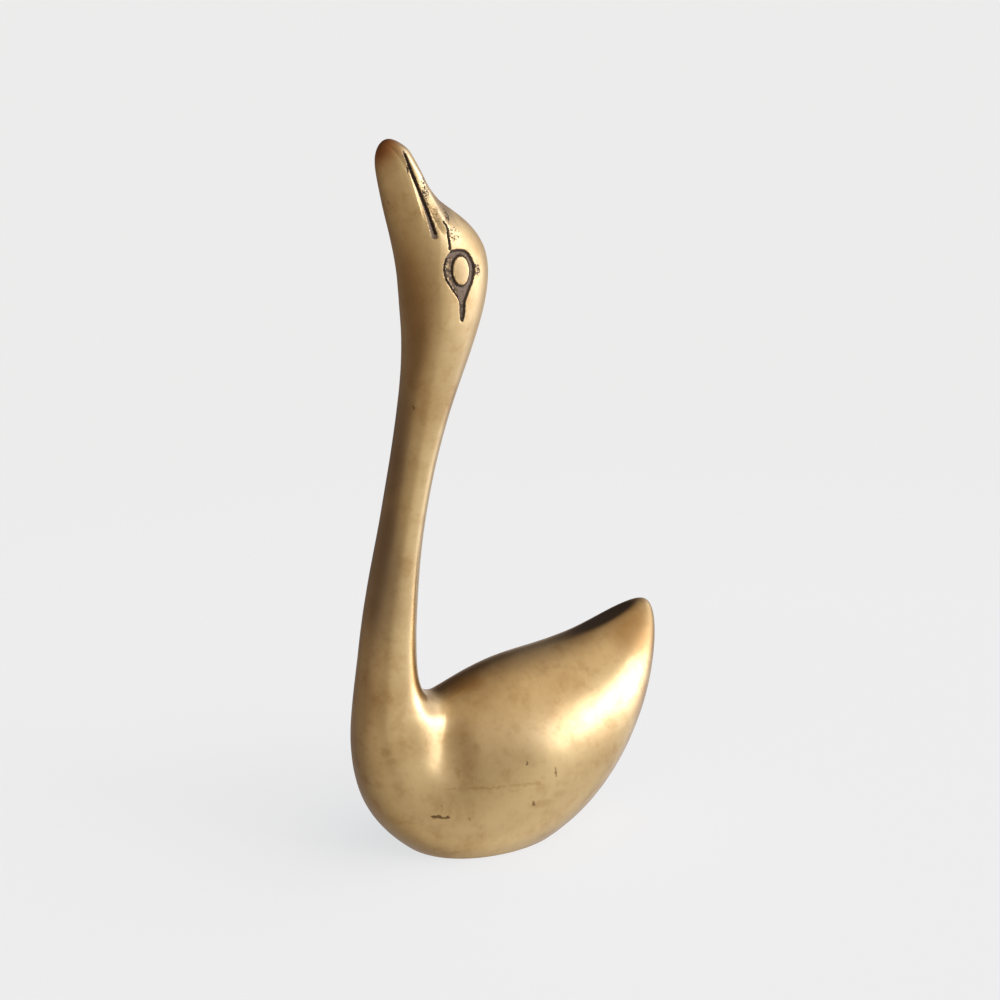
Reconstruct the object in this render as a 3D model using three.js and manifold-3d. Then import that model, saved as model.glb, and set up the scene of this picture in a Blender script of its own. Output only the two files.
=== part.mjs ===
// A cast brass swan that sits on a flat underside and looks up.
// Millimetres. X points to the bird's left, Y to its tail, Z up from the table.
import * as THREE from 'three';
import { mergeVertices } from 'three/addons/utils/BufferGeometryUtils.js';
import Module from 'manifold-3d';

const wasm = await Module();
wasm.setup();

// Cross-sections from the bill to the tail. Each one spans from the front line (under the bill,
// throat, breast, belly) to the back line (top of the bill, crown, nape, back, tail). Points are
// [y, z] in the plane of symmetry, with y measured from the notch between neck and back. half is
// half of the width. heavy widens a section towards its front line and narrows it behind, and boxy
// fills it out near both lines, or makes it leaner there when it is below zero.
const SECTIONS = [
  { name: 'bill tip', front: [-10.2, 189.6], back: [-10.2, 189.6], half: 0, heavy: 0, boxy: 0 },
  { name: 'bill end', front: [-13.3, 184.6], back: [-5.2, 187.8], half: 4.6, heavy: -0.3, boxy: 0 },
  { name: 'bill middle', front: [-11.8, 177.5], back: [-1.4, 180.6], half: 5.9, heavy: -0.2, boxy: 0 },
  { name: 'bill root', front: [-10.0, 169.5], back: [1.8, 174.4], half: 7.2, heavy: 0, boxy: -0.2 },
  { name: 'forehead', front: [-7.9, 162.5], back: [12.4, 168.2], half: 9.3, heavy: 0.05, boxy: 0 },
  { name: 'crown', front: [-6.2, 155.0], back: [18.0, 160.0], half: 10.5, heavy: 0.1, boxy: 0.1 },
  { name: 'back of head', front: [-5.2, 147.0], back: [17.3, 149.0], half: 11.3, heavy: 0.2, boxy: 0.1 },
  { name: 'nape', front: [-4.0, 138.5], back: [13.6, 137.5], half: 10.6, heavy: 0.3, boxy: 0.2 },
  { name: 'upper neck', front: [-6.3, 125.0], back: [7.8, 123.5], half: 7.4, heavy: 0, boxy: 0 },
  { name: 'slim neck', front: [-9.6, 106.0], back: [1.8, 104.5], half: 6.8, heavy: 0, boxy: -0.1 },
  { name: 'middle neck', front: [-13.8, 86.0], back: [-2.0, 85.0], half: 7.0, heavy: 0, boxy: -0.1 },
  { name: 'lower neck', front: [-18.0, 67.0], back: [-3.6, 67.5], half: 7.6, heavy: 0, boxy: 0 },
  { name: 'neck foot', front: [-20.0, 50.0], back: [-4.1, 55.0], half: 8.5, heavy: 0.05, boxy: 0 },
  { name: 'breast', front: [-22.0, 34.0], back: [-3.4, 44.5], half: 9.4, heavy: 0.05, boxy: 0.25 },
  { name: 'low breast', front: [-20.6, 17.0], back: [0.4, 42.6], half: 12.2, heavy: 0.05, boxy: 0.3 },
  { name: 'under breast', front: [-13.0, 2.5], back: [3.3, 42.2], half: 13.9, heavy: 0.45, boxy: 0.35 },
  { name: 'belly', front: [3.0, -7.0], back: [9.7, 45.4], half: 20.4, heavy: 0.4, boxy: 0.1 },
  { name: 'widest', front: [21.0, -7.7], back: [22.0, 49.0], half: 23.9, heavy: 0.25, boxy: 0 },
  { name: 'flank', front: [38.0, -1.4], back: [35.0, 50.2], half: 22.4, heavy: 0.25, boxy: 0 },
  { name: 'rump', front: [53.0, 10.6], back: [47.0, 52.4], half: 19.1, heavy: 0.2, boxy: -0.1 },
  { name: 'tail root', front: [65.0, 25.8], back: [58.2, 57.2], half: 13.0, heavy: 0.1, boxy: -0.25 },
  { name: 'tail', front: [70.0, 43.5], back: [66.2, 59.2], half: 6.8, heavy: 0, boxy: -0.2 },
  { name: 'tail tip', front: [71.2, 58.4], back: [71.2, 58.4], half: 0, heavy: 0, boxy: 0 },
];
const RINGS_PER_SECTION = 4;
const POINTS_PER_RING = 40;

// The top of the tail is filed a little hollow, along an arc through this [y, z] point.
const TAIL_HOLLOW_MIDDLE = [57, 55.6];
const TAIL_HOLLOW_RISE = THREE.MathUtils.degToRad(18.5);
const TAIL_HOLLOW_RADIUS = 120;
const TAIL_HOLLOW_REACH = THREE.MathUtils.degToRad(9);
const TAIL_HOLLOW_STEPS = 16;
const CUTTER_SIZE = 120;

// The engraving is drawn in [y, z] on the side of the head and cut in from both sides. Its floor
// is a bird of the same shape, narrower by this share of the width.
const EYE_FLOOR = 0.92;
const MOUTH_FLOOR = 0.86;
const ENGRAVING_STEPS = 8;

// The eye is a drop with its point down and a short tail, and the oval iris stands in the middle.
const EYE_CENTRE = [5.6, 156.5];
const IRIS_HALF = [2.4, 3.5];
const EYE_HALF_WIDTH = 4.7;
const EYE_ABOVE = 5.4;
const EYE_BELOW = 8;
const EYE_CHEEK = 3.2;
const EYE_TAIL_BELOW = 12.2;
const EYE_TAIL_HALF = 0.6;

// The mouth line runs from just behind the bill tip to the cheek and widens on its way.
const MOUTH_START = [-7.2, 185.2];
const MOUTH_BEND = [-3.4, 175.0];
const MOUTH_END = [-0.9, 165.0];
const MOUTH_START_WIDTH = 0.6;
const MOUTH_END_WIDTH = 1.6;

// The bird's bright, warm, hand-rubbed brass.
const BRASS = { color: 0xb8975a, metalness: 1, roughness: 0.3 };

// Weights of a uniform cubic B-spline for a place between 0 and 1.
function splineWeights(place) {
  const rest = 1 - place;
  return [
    rest ** 3 / 6,
    (3 * place ** 3 - 6 * place ** 2 + 4) / 6,
    (3 * rest ** 3 - 6 * rest ** 2 + 4) / 6,
    place ** 3 / 6,
  ];
}

// A section seen through a pole: its front and back change places and its width turns over.
function throughPole({ front, back, half, heavy, boxy }) {
  return { front: back, back: front, half: -half, heavy: -heavy, boxy };
}

// The blended section at a place along the bird, counted in sections from the bill tip.
function sectionAt(place) {
  const row = [throughPole(SECTIONS[1]), ...SECTIONS, throughPole(SECTIONS.at(-2))];
  const first = Math.min(Math.floor(place), SECTIONS.length - 2);
  const weights = splineWeights(place - first);
  const blend = (pick) => weights.reduce((sum, weight, i) => sum + weight * pick(row[first + i]), 0);
  return {
    front: [blend((s) => s.front[0]), blend((s) => s.front[1])],
    back: [blend((s) => s.back[0]), blend((s) => s.back[1])],
    half: blend((s) => s.half),
    heavy: blend((s) => s.heavy),
    boxy: blend((s) => s.boxy),
  };
}

// One ring of points around the bird, starting on the front line and passing its left side.
function ringAt(place) {
  const { front, back, half, heavy, boxy } = sectionAt(place);
  return Array.from({ length: POINTS_PER_RING }, (_, i) => {
    const turn = (2 * Math.PI * i) / POINTS_PER_RING;
    const forward = Math.cos(turn);
    const along = (1 - forward) / 2;
    const x = half * Math.sin(turn) * (1 + heavy * forward + boxy * forward ** 2);
    return [x, front[0] + along * (back[0] - front[0]), front[1] + along * (back[1] - front[1])];
  });
}

// The closed skin through all rings, with a fan of triangles at each pole.
function skinGeometry() {
  const ringCount = (SECTIONS.length - 1) * RINGS_PER_SECTION - 1;
  const positions = [];
  const indices = [];
  for (let ring = 1; ring <= ringCount; ring += 1) {
    positions.push(...ringAt(ring / RINGS_PER_SECTION).flat());
  }
  for (const pole of [0, SECTIONS.length - 1]) {
    positions.push(0, ...sectionAt(pole).front);
  }
  const billPole = ringCount * POINTS_PER_RING;
  for (let i = 0; i < POINTS_PER_RING; i += 1) {
    const next = (i + 1) % POINTS_PER_RING;
    const lastRing = (ringCount - 1) * POINTS_PER_RING;
    indices.push(billPole, i, next);
    indices.push(billPole + 1, lastRing + next, lastRing + i);
    for (let ring = 0; ring < ringCount - 1; ring += 1) {
      const here = ring * POINTS_PER_RING;
      const there = here + POINTS_PER_RING;
      indices.push(here + i, there + i, here + next);
      indices.push(here + next, there + i, there + next);
    }
  }
  const geometry = new THREE.BufferGeometry();
  geometry.setAttribute('position', new THREE.Float32BufferAttribute(positions, 3));
  geometry.setIndex(indices);
  return geometry;
}

// A closed geometry as a solid that can be joined and cut.
function toSolid(geometry) {
  const bare = geometry.clone();
  bare.deleteAttribute('normal');
  bare.deleteAttribute('uv');
  const merged = mergeVertices(bare);
  return new wasm.Manifold(new wasm.Mesh({
    numProp: 3,
    vertProperties: merged.attributes.position.array,
    triVerts: Uint32Array.from(merged.index.array),
  }));
}

// A solid back as a geometry.
function toGeometry(solid) {
  const mesh = solid.getMesh();
  const geometry = new THREE.BufferGeometry();
  geometry.setAttribute('position', new THREE.Float32BufferAttribute(mesh.vertProperties, 3));
  geometry.setIndex(Array.from(mesh.triVerts));
  return geometry;
}

// A shape in the plane of symmetry, drawn in [y, z], as a solid that runs right across the bird.
function acrossBird(shape, curveSegments) {
  const depth = CUTTER_SIZE;
  return toSolid(new THREE.ExtrudeGeometry(shape, { depth, bevelEnabled: false, curveSegments })
    .translate(0, 0, -depth / 2)
    .rotateY(Math.PI / 2)
    .rotateX(Math.PI / 2));
}

// A box below the table plane, which leaves the flat underside.
function groundCutter() {
  return toSolid(new THREE.BoxGeometry(2 * CUTTER_SIZE, 2 * CUTTER_SIZE, CUTTER_SIZE)
    .translate(0, 0, -CUTTER_SIZE / 2));
}

// A wedge of a wide drum over the tail, which leaves its filed top.
function tailCutter() {
  const [y, z] = TAIL_HOLLOW_MIDDLE;
  const down = TAIL_HOLLOW_RISE - Math.PI / 2;
  const centreY = y - TAIL_HOLLOW_RADIUS * Math.cos(down);
  const centreZ = z - TAIL_HOLLOW_RADIUS * Math.sin(down);
  const wedge = new THREE.Shape();
  wedge.absarc(centreY, centreZ, TAIL_HOLLOW_RADIUS, down - TAIL_HOLLOW_REACH, down + TAIL_HOLLOW_REACH);
  wedge.lineTo(y, z + CUTTER_SIZE);
  return acrossBird(wedge, TAIL_HOLLOW_STEPS);
}

// The drop around the iris, with its tail.
function eyeShape() {
  const [y, z] = EYE_CENTRE;
  const pointZ = z - EYE_BELOW;
  const tailZ = z - EYE_TAIL_BELOW;
  const drop = new THREE.Shape();
  drop.moveTo(y + EYE_TAIL_HALF, tailZ);
  drop.lineTo(y + EYE_TAIL_HALF, pointZ);
  drop.quadraticCurveTo(y + EYE_HALF_WIDTH, z - EYE_CHEEK, y + EYE_HALF_WIDTH, z);
  drop.absellipse(y, z, EYE_HALF_WIDTH, EYE_ABOVE, 0, Math.PI);
  drop.quadraticCurveTo(y - EYE_HALF_WIDTH, z - EYE_CHEEK, y - EYE_TAIL_HALF, pointZ);
  drop.lineTo(y - EYE_TAIL_HALF, tailZ);
  const iris = new THREE.Path();
  iris.absellipse(y, z, ...IRIS_HALF, 0, 2 * Math.PI);
  drop.holes.push(iris);
  return drop;
}

// The groove between the two halves of the bill.
function mouthShape() {
  const bendWidth = (MOUTH_START_WIDTH + MOUTH_END_WIDTH) / 2;
  const edge = ([y, z], width) => [y + width / 2, z];
  const groove = new THREE.Shape();
  groove.moveTo(...edge(MOUTH_START, MOUTH_START_WIDTH));
  groove.quadraticCurveTo(...edge(MOUTH_BEND, -bendWidth), ...edge(MOUTH_END, -MOUTH_END_WIDTH));
  groove.lineTo(...edge(MOUTH_END, MOUTH_END_WIDTH));
  groove.quadraticCurveTo(...edge(MOUTH_BEND, bendWidth), ...edge(MOUTH_START, MOUTH_START_WIDTH));
  return groove;
}

// What a graver takes off both sides of the head for a drawn shape.
function engravingCutter(shape, floor) {
  return acrossBird(shape, ENGRAVING_STEPS).subtract(toSolid(skinGeometry().scale(floor, 1, 1)));
}

const cast = toSolid(skinGeometry())
  .subtract(groundCutter())
  .subtract(tailCutter())
  .subtract(engravingCutter(eyeShape(), EYE_FLOOR))
  .subtract(engravingCutter(mouthShape(), MOUTH_FLOOR));

// The figurine's origin is on the table, under the middle of its length.
const geometry = toGeometry(cast);
geometry.computeBoundingBox();
const swan = new THREE.Mesh(geometry, new THREE.MeshStandardMaterial(BRASS));
swan.name = 'swan';
swan.position.y = -(geometry.boundingBox.min.y + geometry.boundingBox.max.y) / 2;

const figurine = new THREE.Group();
figurine.add(swan);

export default figurine;
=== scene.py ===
import logging
import math
from dataclasses import dataclass, field
from enum import Enum

import bmesh
import bpy
import numpy as np
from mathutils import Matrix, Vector, noise


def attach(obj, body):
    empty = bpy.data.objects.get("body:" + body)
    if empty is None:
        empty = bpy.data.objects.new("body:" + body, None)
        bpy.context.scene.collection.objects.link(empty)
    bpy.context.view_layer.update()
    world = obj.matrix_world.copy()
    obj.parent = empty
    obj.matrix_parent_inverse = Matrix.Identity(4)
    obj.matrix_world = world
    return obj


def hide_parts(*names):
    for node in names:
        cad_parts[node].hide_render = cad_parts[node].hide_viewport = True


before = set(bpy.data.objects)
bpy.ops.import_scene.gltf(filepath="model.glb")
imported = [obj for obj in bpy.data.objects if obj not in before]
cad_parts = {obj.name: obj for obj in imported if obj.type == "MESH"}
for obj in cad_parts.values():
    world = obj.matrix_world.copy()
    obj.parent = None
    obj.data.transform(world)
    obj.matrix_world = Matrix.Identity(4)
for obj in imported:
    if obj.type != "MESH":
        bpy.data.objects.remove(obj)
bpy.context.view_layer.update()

# A cast brass swan that sits on a flat underside and looks up, dressed for a soft studio.
# The bird is drawn in millimetres, as it was carved: X to its left, Y to its tail from the notch
# between neck and back, Z up from the table. Its mesh is in metres, in the frame of the solid.

LOG = logging.getLogger("swan")
MM = 0.001
NODE = "swan"
BODY = "root"
NOTCH_TO_MIDDLE = 24.5
GROUND_FIELD = "engraved_ground"
GRIME_FIELD = "grime"
WEAR_AND_HIGHLIGHT_FIELD = "wear_and_highlight"
DARK_TOP_FIELD = "dark_top"

Drawn = tuple[float, float]
Colour = tuple[float, float, float]
Ramp = tuple[float, float, float]

# How far outside an engraved edge a colour starts, and where it is full, from crisp to soft.
CRISP_EDGE = (0.1, -0.1)
DIRTY_EDGE = (0.15, -0.1)
SOFT_EDGE = (0.2, -0.2)


def smooth_step(low: float, high: float, value: np.ndarray) -> np.ndarray:
    """Goes smoothly from 0 to 1 while a value goes from low to high.

    Args:
        low: the value where the step starts, which may be the larger one.
        high: the value where it ends.
        value: the values.

    Returns:
        The step's height at each value.
    """
    share = np.clip((value - low) / (high - low), 0.0, 1.0)
    return share * share * (3.0 - 2.0 * share)


def smooth_path(points: tuple[Drawn, ...], closed: bool, steps: int = 8) -> np.ndarray:
    """Draws a smooth line through points.

    Args:
        points: the [y, z] points that it passes, in order.
        closed: whether it returns to its first point.
        steps: how many pieces each span is cut into.

    Returns:
        An array of [y, z] points along the line.
    """
    corner = np.array(points, float)
    if closed:
        row = np.vstack([corner[-1:], corner, corner[:2]])
    else:
        row = np.vstack([2 * corner[0] - corner[1], corner, 2 * corner[-1] - corner[-2]])
    share = np.linspace(0.0, 1.0, steps, endpoint=False)[:, None]
    spans = []
    for before, start, end, after in zip(row, row[1:], row[2:], row[3:]):
        spans.append(0.5 * (
            2 * start
            + (end - before) * share
            + (2 * before - 5 * start + 4 * end - after) * share**2
            + (3 * start - before - 3 * end + after) * share**3
        ))
    if not closed:
        spans.append(corner[-1:])
    return np.vstack(spans)


def nearest_on_path(spot: np.ndarray, path: np.ndarray) -> tuple[np.ndarray, np.ndarray]:
    """Measures how far spots are from a path.

    Args:
        spot: an array of [y, z] spots.
        path: the path's points.

    Returns:
        Each spot's distance, and how far along the path it is as a share from 0 to 1.
    """
    best = np.full(len(spot), np.inf)
    along = np.zeros(len(spot))
    spans = len(path) - 1
    for i in range(spans):
        span = path[i + 1] - path[i]
        share = np.clip(((spot - path[i]) @ span) / (span @ span), 0.0, 1.0)
        distance = np.linalg.norm(spot - path[i] - share[:, None] * span, axis=1)
        near = distance < best
        best[near] = distance[near]
        along[near] = (i + share[near]) / spans
    return best, along


@dataclass(frozen=True)
class Section:
    """One cross-section of the bird.

    front and back are the [y, z] points of its front line and its back line, and half is half of
    its width. heavy widens it towards the front line and narrows it behind, and boxy fills it out
    near both lines, or makes it leaner there when it is below zero.
    """

    name: str
    front: Drawn
    back: Drawn
    half: float
    heavy: float = 0.0
    boxy: float = 0.0

    def row(self) -> list[float]:
        """Its numbers in one row."""
        return [*self.front, *self.back, self.half, self.heavy, self.boxy]

    def through_pole(self) -> list[float]:
        """Its numbers as seen through a pole: front and back change places, the width turns over."""
        return [*self.back, *self.front, -self.half, -self.heavy, self.boxy]


SECTIONS = (
    Section("bill tip", (-10.2, 189.6), (-10.2, 189.6), 0.0),
    Section("bill end", (-13.3, 184.6), (-5.2, 187.8), 4.6, -0.3),
    Section("bill middle", (-11.8, 177.5), (-1.4, 180.6), 5.9, -0.2),
    Section("bill root", (-10.0, 169.5), (1.8, 174.4), 7.2, 0.0, -0.2),
    Section("forehead", (-7.9, 162.5), (12.4, 168.2), 9.3, 0.05),
    Section("crown", (-6.2, 155.0), (18.0, 160.0), 10.5, 0.1, 0.1),
    Section("back of head", (-5.2, 147.0), (17.3, 149.0), 11.3, 0.2, 0.1),
    Section("nape", (-4.0, 138.5), (13.6, 137.5), 10.6, 0.3, 0.2),
    Section("upper neck", (-6.3, 125.0), (7.8, 123.5), 7.4),
    Section("slim neck", (-9.6, 106.0), (1.8, 104.5), 6.8, 0.0, -0.1),
    Section("middle neck", (-13.8, 86.0), (-2.0, 85.0), 7.0, 0.0, -0.1),
    Section("lower neck", (-18.0, 67.0), (-3.6, 67.5), 7.6),
    Section("neck foot", (-20.0, 50.0), (-4.1, 55.0), 8.5, 0.05),
    Section("breast", (-22.0, 34.0), (-3.4, 44.5), 9.4, 0.05, 0.25),
    Section("low breast", (-20.6, 17.0), (0.4, 42.6), 12.2, 0.05, 0.3),
    Section("under breast", (-13.0, 2.5), (3.3, 42.2), 13.9, 0.45, 0.35),
    Section("belly", (3.0, -7.0), (9.7, 45.4), 20.4, 0.4, 0.1),
    Section("widest", (21.0, -7.7), (22.0, 49.0), 23.9, 0.25),
    Section("flank", (38.0, -1.4), (35.0, 50.2), 22.4, 0.25),
    Section("rump", (53.0, 10.6), (47.0, 52.4), 19.1, 0.2, -0.1),
    Section("tail root", (65.0, 25.8), (58.2, 57.2), 13.0, 0.1, -0.25),
    Section("tail", (70.0, 43.5), (66.2, 59.2), 6.8, 0.0, -0.2),
    Section("tail tip", (71.2, 58.4), (71.2, 58.4), 0.0),
)


@dataclass(frozen=True)
class Loft:
    """The bird's smooth skin, blended through its sections by a uniform cubic B-spline."""

    sections: tuple[Section, ...]

    def place_of(self, name: str) -> int:
        """The place of a named section, counted from the bill tip."""
        return [section.name for section in self.sections].index(name)

    def points(self, places: np.ndarray, turns: np.ndarray) -> np.ndarray:
        """Finds points of the skin.

        Args:
            places: how far along the bird each point is, counted in sections.
            turns: how far round it is, in radians from the front line over the left side.

        Returns:
            An array of [x, y, z] points in millimetres.
        """
        rows = np.array([
            self.sections[1].through_pole(),
            *(section.row() for section in self.sections),
            self.sections[-2].through_pole(),
        ])
        first = np.minimum(places.astype(int), len(self.sections) - 2)
        ahead = places - first
        rest = 1.0 - ahead
        weights = (
            rest**3 / 6,
            (3 * ahead**3 - 6 * ahead**2 + 4) / 6,
            (3 * rest**3 - 6 * rest**2 + 4) / 6,
            ahead**3 / 6,
        )
        blend = sum(weight[:, None] * rows[first + i] for i, weight in enumerate(weights))
        front, back = blend[:, 0:2], blend[:, 2:4]
        half, heavy, boxy = blend[:, 4:7].T
        forward = np.cos(turns)
        width = half * np.sin(turns) * (1.0 + heavy * forward + boxy * forward**2)
        return np.column_stack([width, front + ((1.0 - forward) / 2)[:, None] * (back - front)])


@dataclass(frozen=True)
class DrawnLine:
    """A line engraved on the side of the head, drawn in [y, z], with its width at both ends."""

    points: tuple[Drawn, ...]
    start_width: float
    end_width: float
    depth: float

    def edge(self, spot: np.ndarray) -> np.ndarray:
        """How far spots are from the line's edge, below zero inside it."""
        distance, along = nearest_on_path(spot, smooth_path(self.points, closed=False))
        width = self.start_width + along * (self.end_width - self.start_width)
        return distance - width / 2


@dataclass(frozen=True)
class FiledEdge:
    """The edge between two filed facets of the head, drawn in [y, z] from the top down.

    before and behind are how wide the facets in front of it and behind it are.
    """

    points: tuple[Drawn, ...]
    height: float
    before: float
    behind: float
    fade: float = 3.0
    # The crest is rubbed bright and carries a painted highlight; these set its strength and its reach.
    rubbed: float = 0.6
    wear_and_highlight_reach: tuple[float, float] = (0.6, 0.15)

    def offset(self, spot: np.ndarray) -> np.ndarray:
        """How far spots are behind the edge, below zero in front of it."""
        path = smooth_path(self.points, closed=False)
        distance, _ = nearest_on_path(spot, path)
        upward = np.argsort(path[:, 1])
        edge_y = np.interp(spot[:, 1], path[upward, 1], path[upward, 0])
        return np.where(spot[:, 0] < edge_y, -distance, distance)

    def ends(self, spot: np.ndarray) -> np.ndarray:
        """1 along the edge, fading to 0 towards both of its ends."""
        top, bottom = self.points[0][1], self.points[-1][1]
        rising = smooth_step(top, top - self.fade, spot[:, 1])
        return rising * smooth_step(bottom, bottom + self.fade, spot[:, 1])

    def relief(self, spot: np.ndarray) -> np.ndarray:
        """How high the metal stands at each spot."""
        offset = self.offset(spot)
        width = np.where(offset < 0.0, self.before, self.behind)
        return self.height * np.clip(1.0 - np.abs(offset) / width, 0.0, 1.0) * self.ends(spot)

    def wear_and_highlight(self, spot: np.ndarray) -> np.ndarray:
        """How bright each spot is painted: rubbed metal with a painted highlight, most on the edge."""
        offset = self.offset(spot)
        return self.rubbed * smooth_step(*self.wear_and_highlight_reach, np.abs(offset)) * self.ends(spot)


@dataclass(frozen=True)
class Patch:
    """A soft oval on the side of the head, drawn in [y, z]."""

    centre: Drawn
    half: Drawn
    strength: float
    blur: float = 0.6

    def amount(self, spot: np.ndarray) -> np.ndarray:
        """How strong it is at each spot, from 0 to its strength."""
        off = np.linalg.norm((spot - self.centre) / self.half, axis=1)
        return self.strength * smooth_step(1.0 + self.blur, 1.0 - self.blur, off)


@dataclass(frozen=True)
class Eye:
    """The engraved eye: a drop with a short tail around a standing iris, and a lid in front."""

    outline: tuple[Drawn, ...] = (
        (6.3, 161.7), (3.5, 161.7), (1.9, 160.3), (0.8, 157.8), (1.1, 154.8), (2.5, 152.1),
        (4.0, 150.0), (4.6, 148.4), (4.7, 146.1), (5.0, 144.2), (6.0, 143.9), (6.5, 146.0), (6.6, 148.6),
        (7.6, 150.7), (9.2, 153.6), (10.0, 156.3), (9.5, 158.8), (8.1, 160.9),
    )
    iris_centre: Drawn = (5.65, 156.5)
    iris_half: Drawn = (2.35, 3.5)
    outer_line: float = 0.5
    inner_line: float = 0.8
    lid_reach: tuple[float, float, float] = (4.4, 149.8, 159.6)
    depth: float = 0.5
    lid_depth: float = 0.15
    wall: float = 0.3
    lid_grime: float = 0.5
    lid_ground: float = 0.6
    ground_grime: float = 0.3
    line_grime: float = 1.0
    line_reach: tuple[float, float] = (1.1, 0.1)
    tail_top: float = 149.0
    tail_fade: float = 1.0
    tail_grime: float = 0.6
    rubbed_clean: tuple[Patch, ...] = (
        Patch((2.9, 160.1), (1.3, 0.9), 0.5),
        Patch((4.9, 151.6), (1.1, 1.2), 0.35),
    )

    def outside(self, spot: np.ndarray) -> np.ndarray:
        """How far spots are outside the drop, below zero inside it."""
        path = smooth_path(self.outline, closed=True)
        path = np.vstack([path, path[:1]])
        distance, _ = nearest_on_path(spot, path)
        inside = np.zeros(len(spot), bool)
        for (y0, z0), (y1, z1) in zip(path, path[1:]):
            if z0 == z1:
                continue
            crosses = (z0 > spot[:, 1]) != (z1 > spot[:, 1])
            inside ^= crosses & (spot[:, 0] < y0 + (spot[:, 1] - z0) * (y1 - y0) / (z1 - z0))
        return np.where(inside, -distance, distance)

    def off_iris(self, spot: np.ndarray) -> np.ndarray:
        """How far spots are from the iris, below zero on it."""
        scaled = (spot - self.iris_centre) / self.iris_half
        return (np.linalg.norm(scaled, axis=1) - 1.0) * min(self.iris_half)

    def off_lid(self, spot: np.ndarray, outside: np.ndarray, off_iris: np.ndarray) -> np.ndarray:
        """How far spots are from the lid, below zero on it."""
        behind, below, above = self.lid_reach
        return np.maximum.reduce([
            outside + self.outer_line,
            self.inner_line - off_iris,
            spot[:, 0] - behind,
            below - spot[:, 1],
            spot[:, 1] - above,
        ])

    def edge(self, spot: np.ndarray) -> np.ndarray:
        """How far spots are from the engraved ground of the eye, below zero on it."""
        outside, off_iris = self.outside(spot), self.off_iris(spot)
        return np.maximum.reduce([outside, -off_iris, -self.off_lid(spot, outside, off_iris)])

    def relief(self, spot: np.ndarray) -> np.ndarray:
        """How high the metal stands at each spot, below zero where it is cut away."""
        outside, off_iris = self.outside(spot), self.off_iris(spot)
        off_lid = self.off_lid(spot, outside, off_iris)
        cut = self.depth * smooth_step(0.0, -self.wall, self.edge(spot))
        lid = self.lid_depth * smooth_step(0.0, -self.wall, off_lid)
        return -np.maximum(cut, lid)

    def lid(self, spot: np.ndarray) -> np.ndarray:
        """How far the lid has turned the colour of the ground, from 0 to 1."""
        off_lid = self.off_lid(spot, self.outside(spot), self.off_iris(spot))
        return self.lid_ground * smooth_step(*CRISP_EDGE, off_lid)

    def grime(self, spot: np.ndarray) -> np.ndarray:
        """How dirty each spot in and on the eye is, from 0 to 1."""
        outside, off_iris = self.outside(spot), self.off_iris(spot)
        lid = self.lid_grime * smooth_step(*CRISP_EDGE, self.off_lid(spot, outside, off_iris))
        line = self.line_grime * smooth_step(*self.line_reach, np.minimum(-outside, off_iris))
        clean = np.maximum.reduce([patch.amount(spot) for patch in self.rubbed_clean])
        below = self.tail_top - self.tail_fade
        tail = self.tail_grime * smooth_step(self.tail_top, below, spot[:, 1])
        ground = np.maximum.reduce([line - clean, tail, np.full(len(spot), self.ground_grime)])
        ground *= smooth_step(*DIRTY_EDGE, self.edge(spot))
        return np.maximum(lid, ground)


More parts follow.
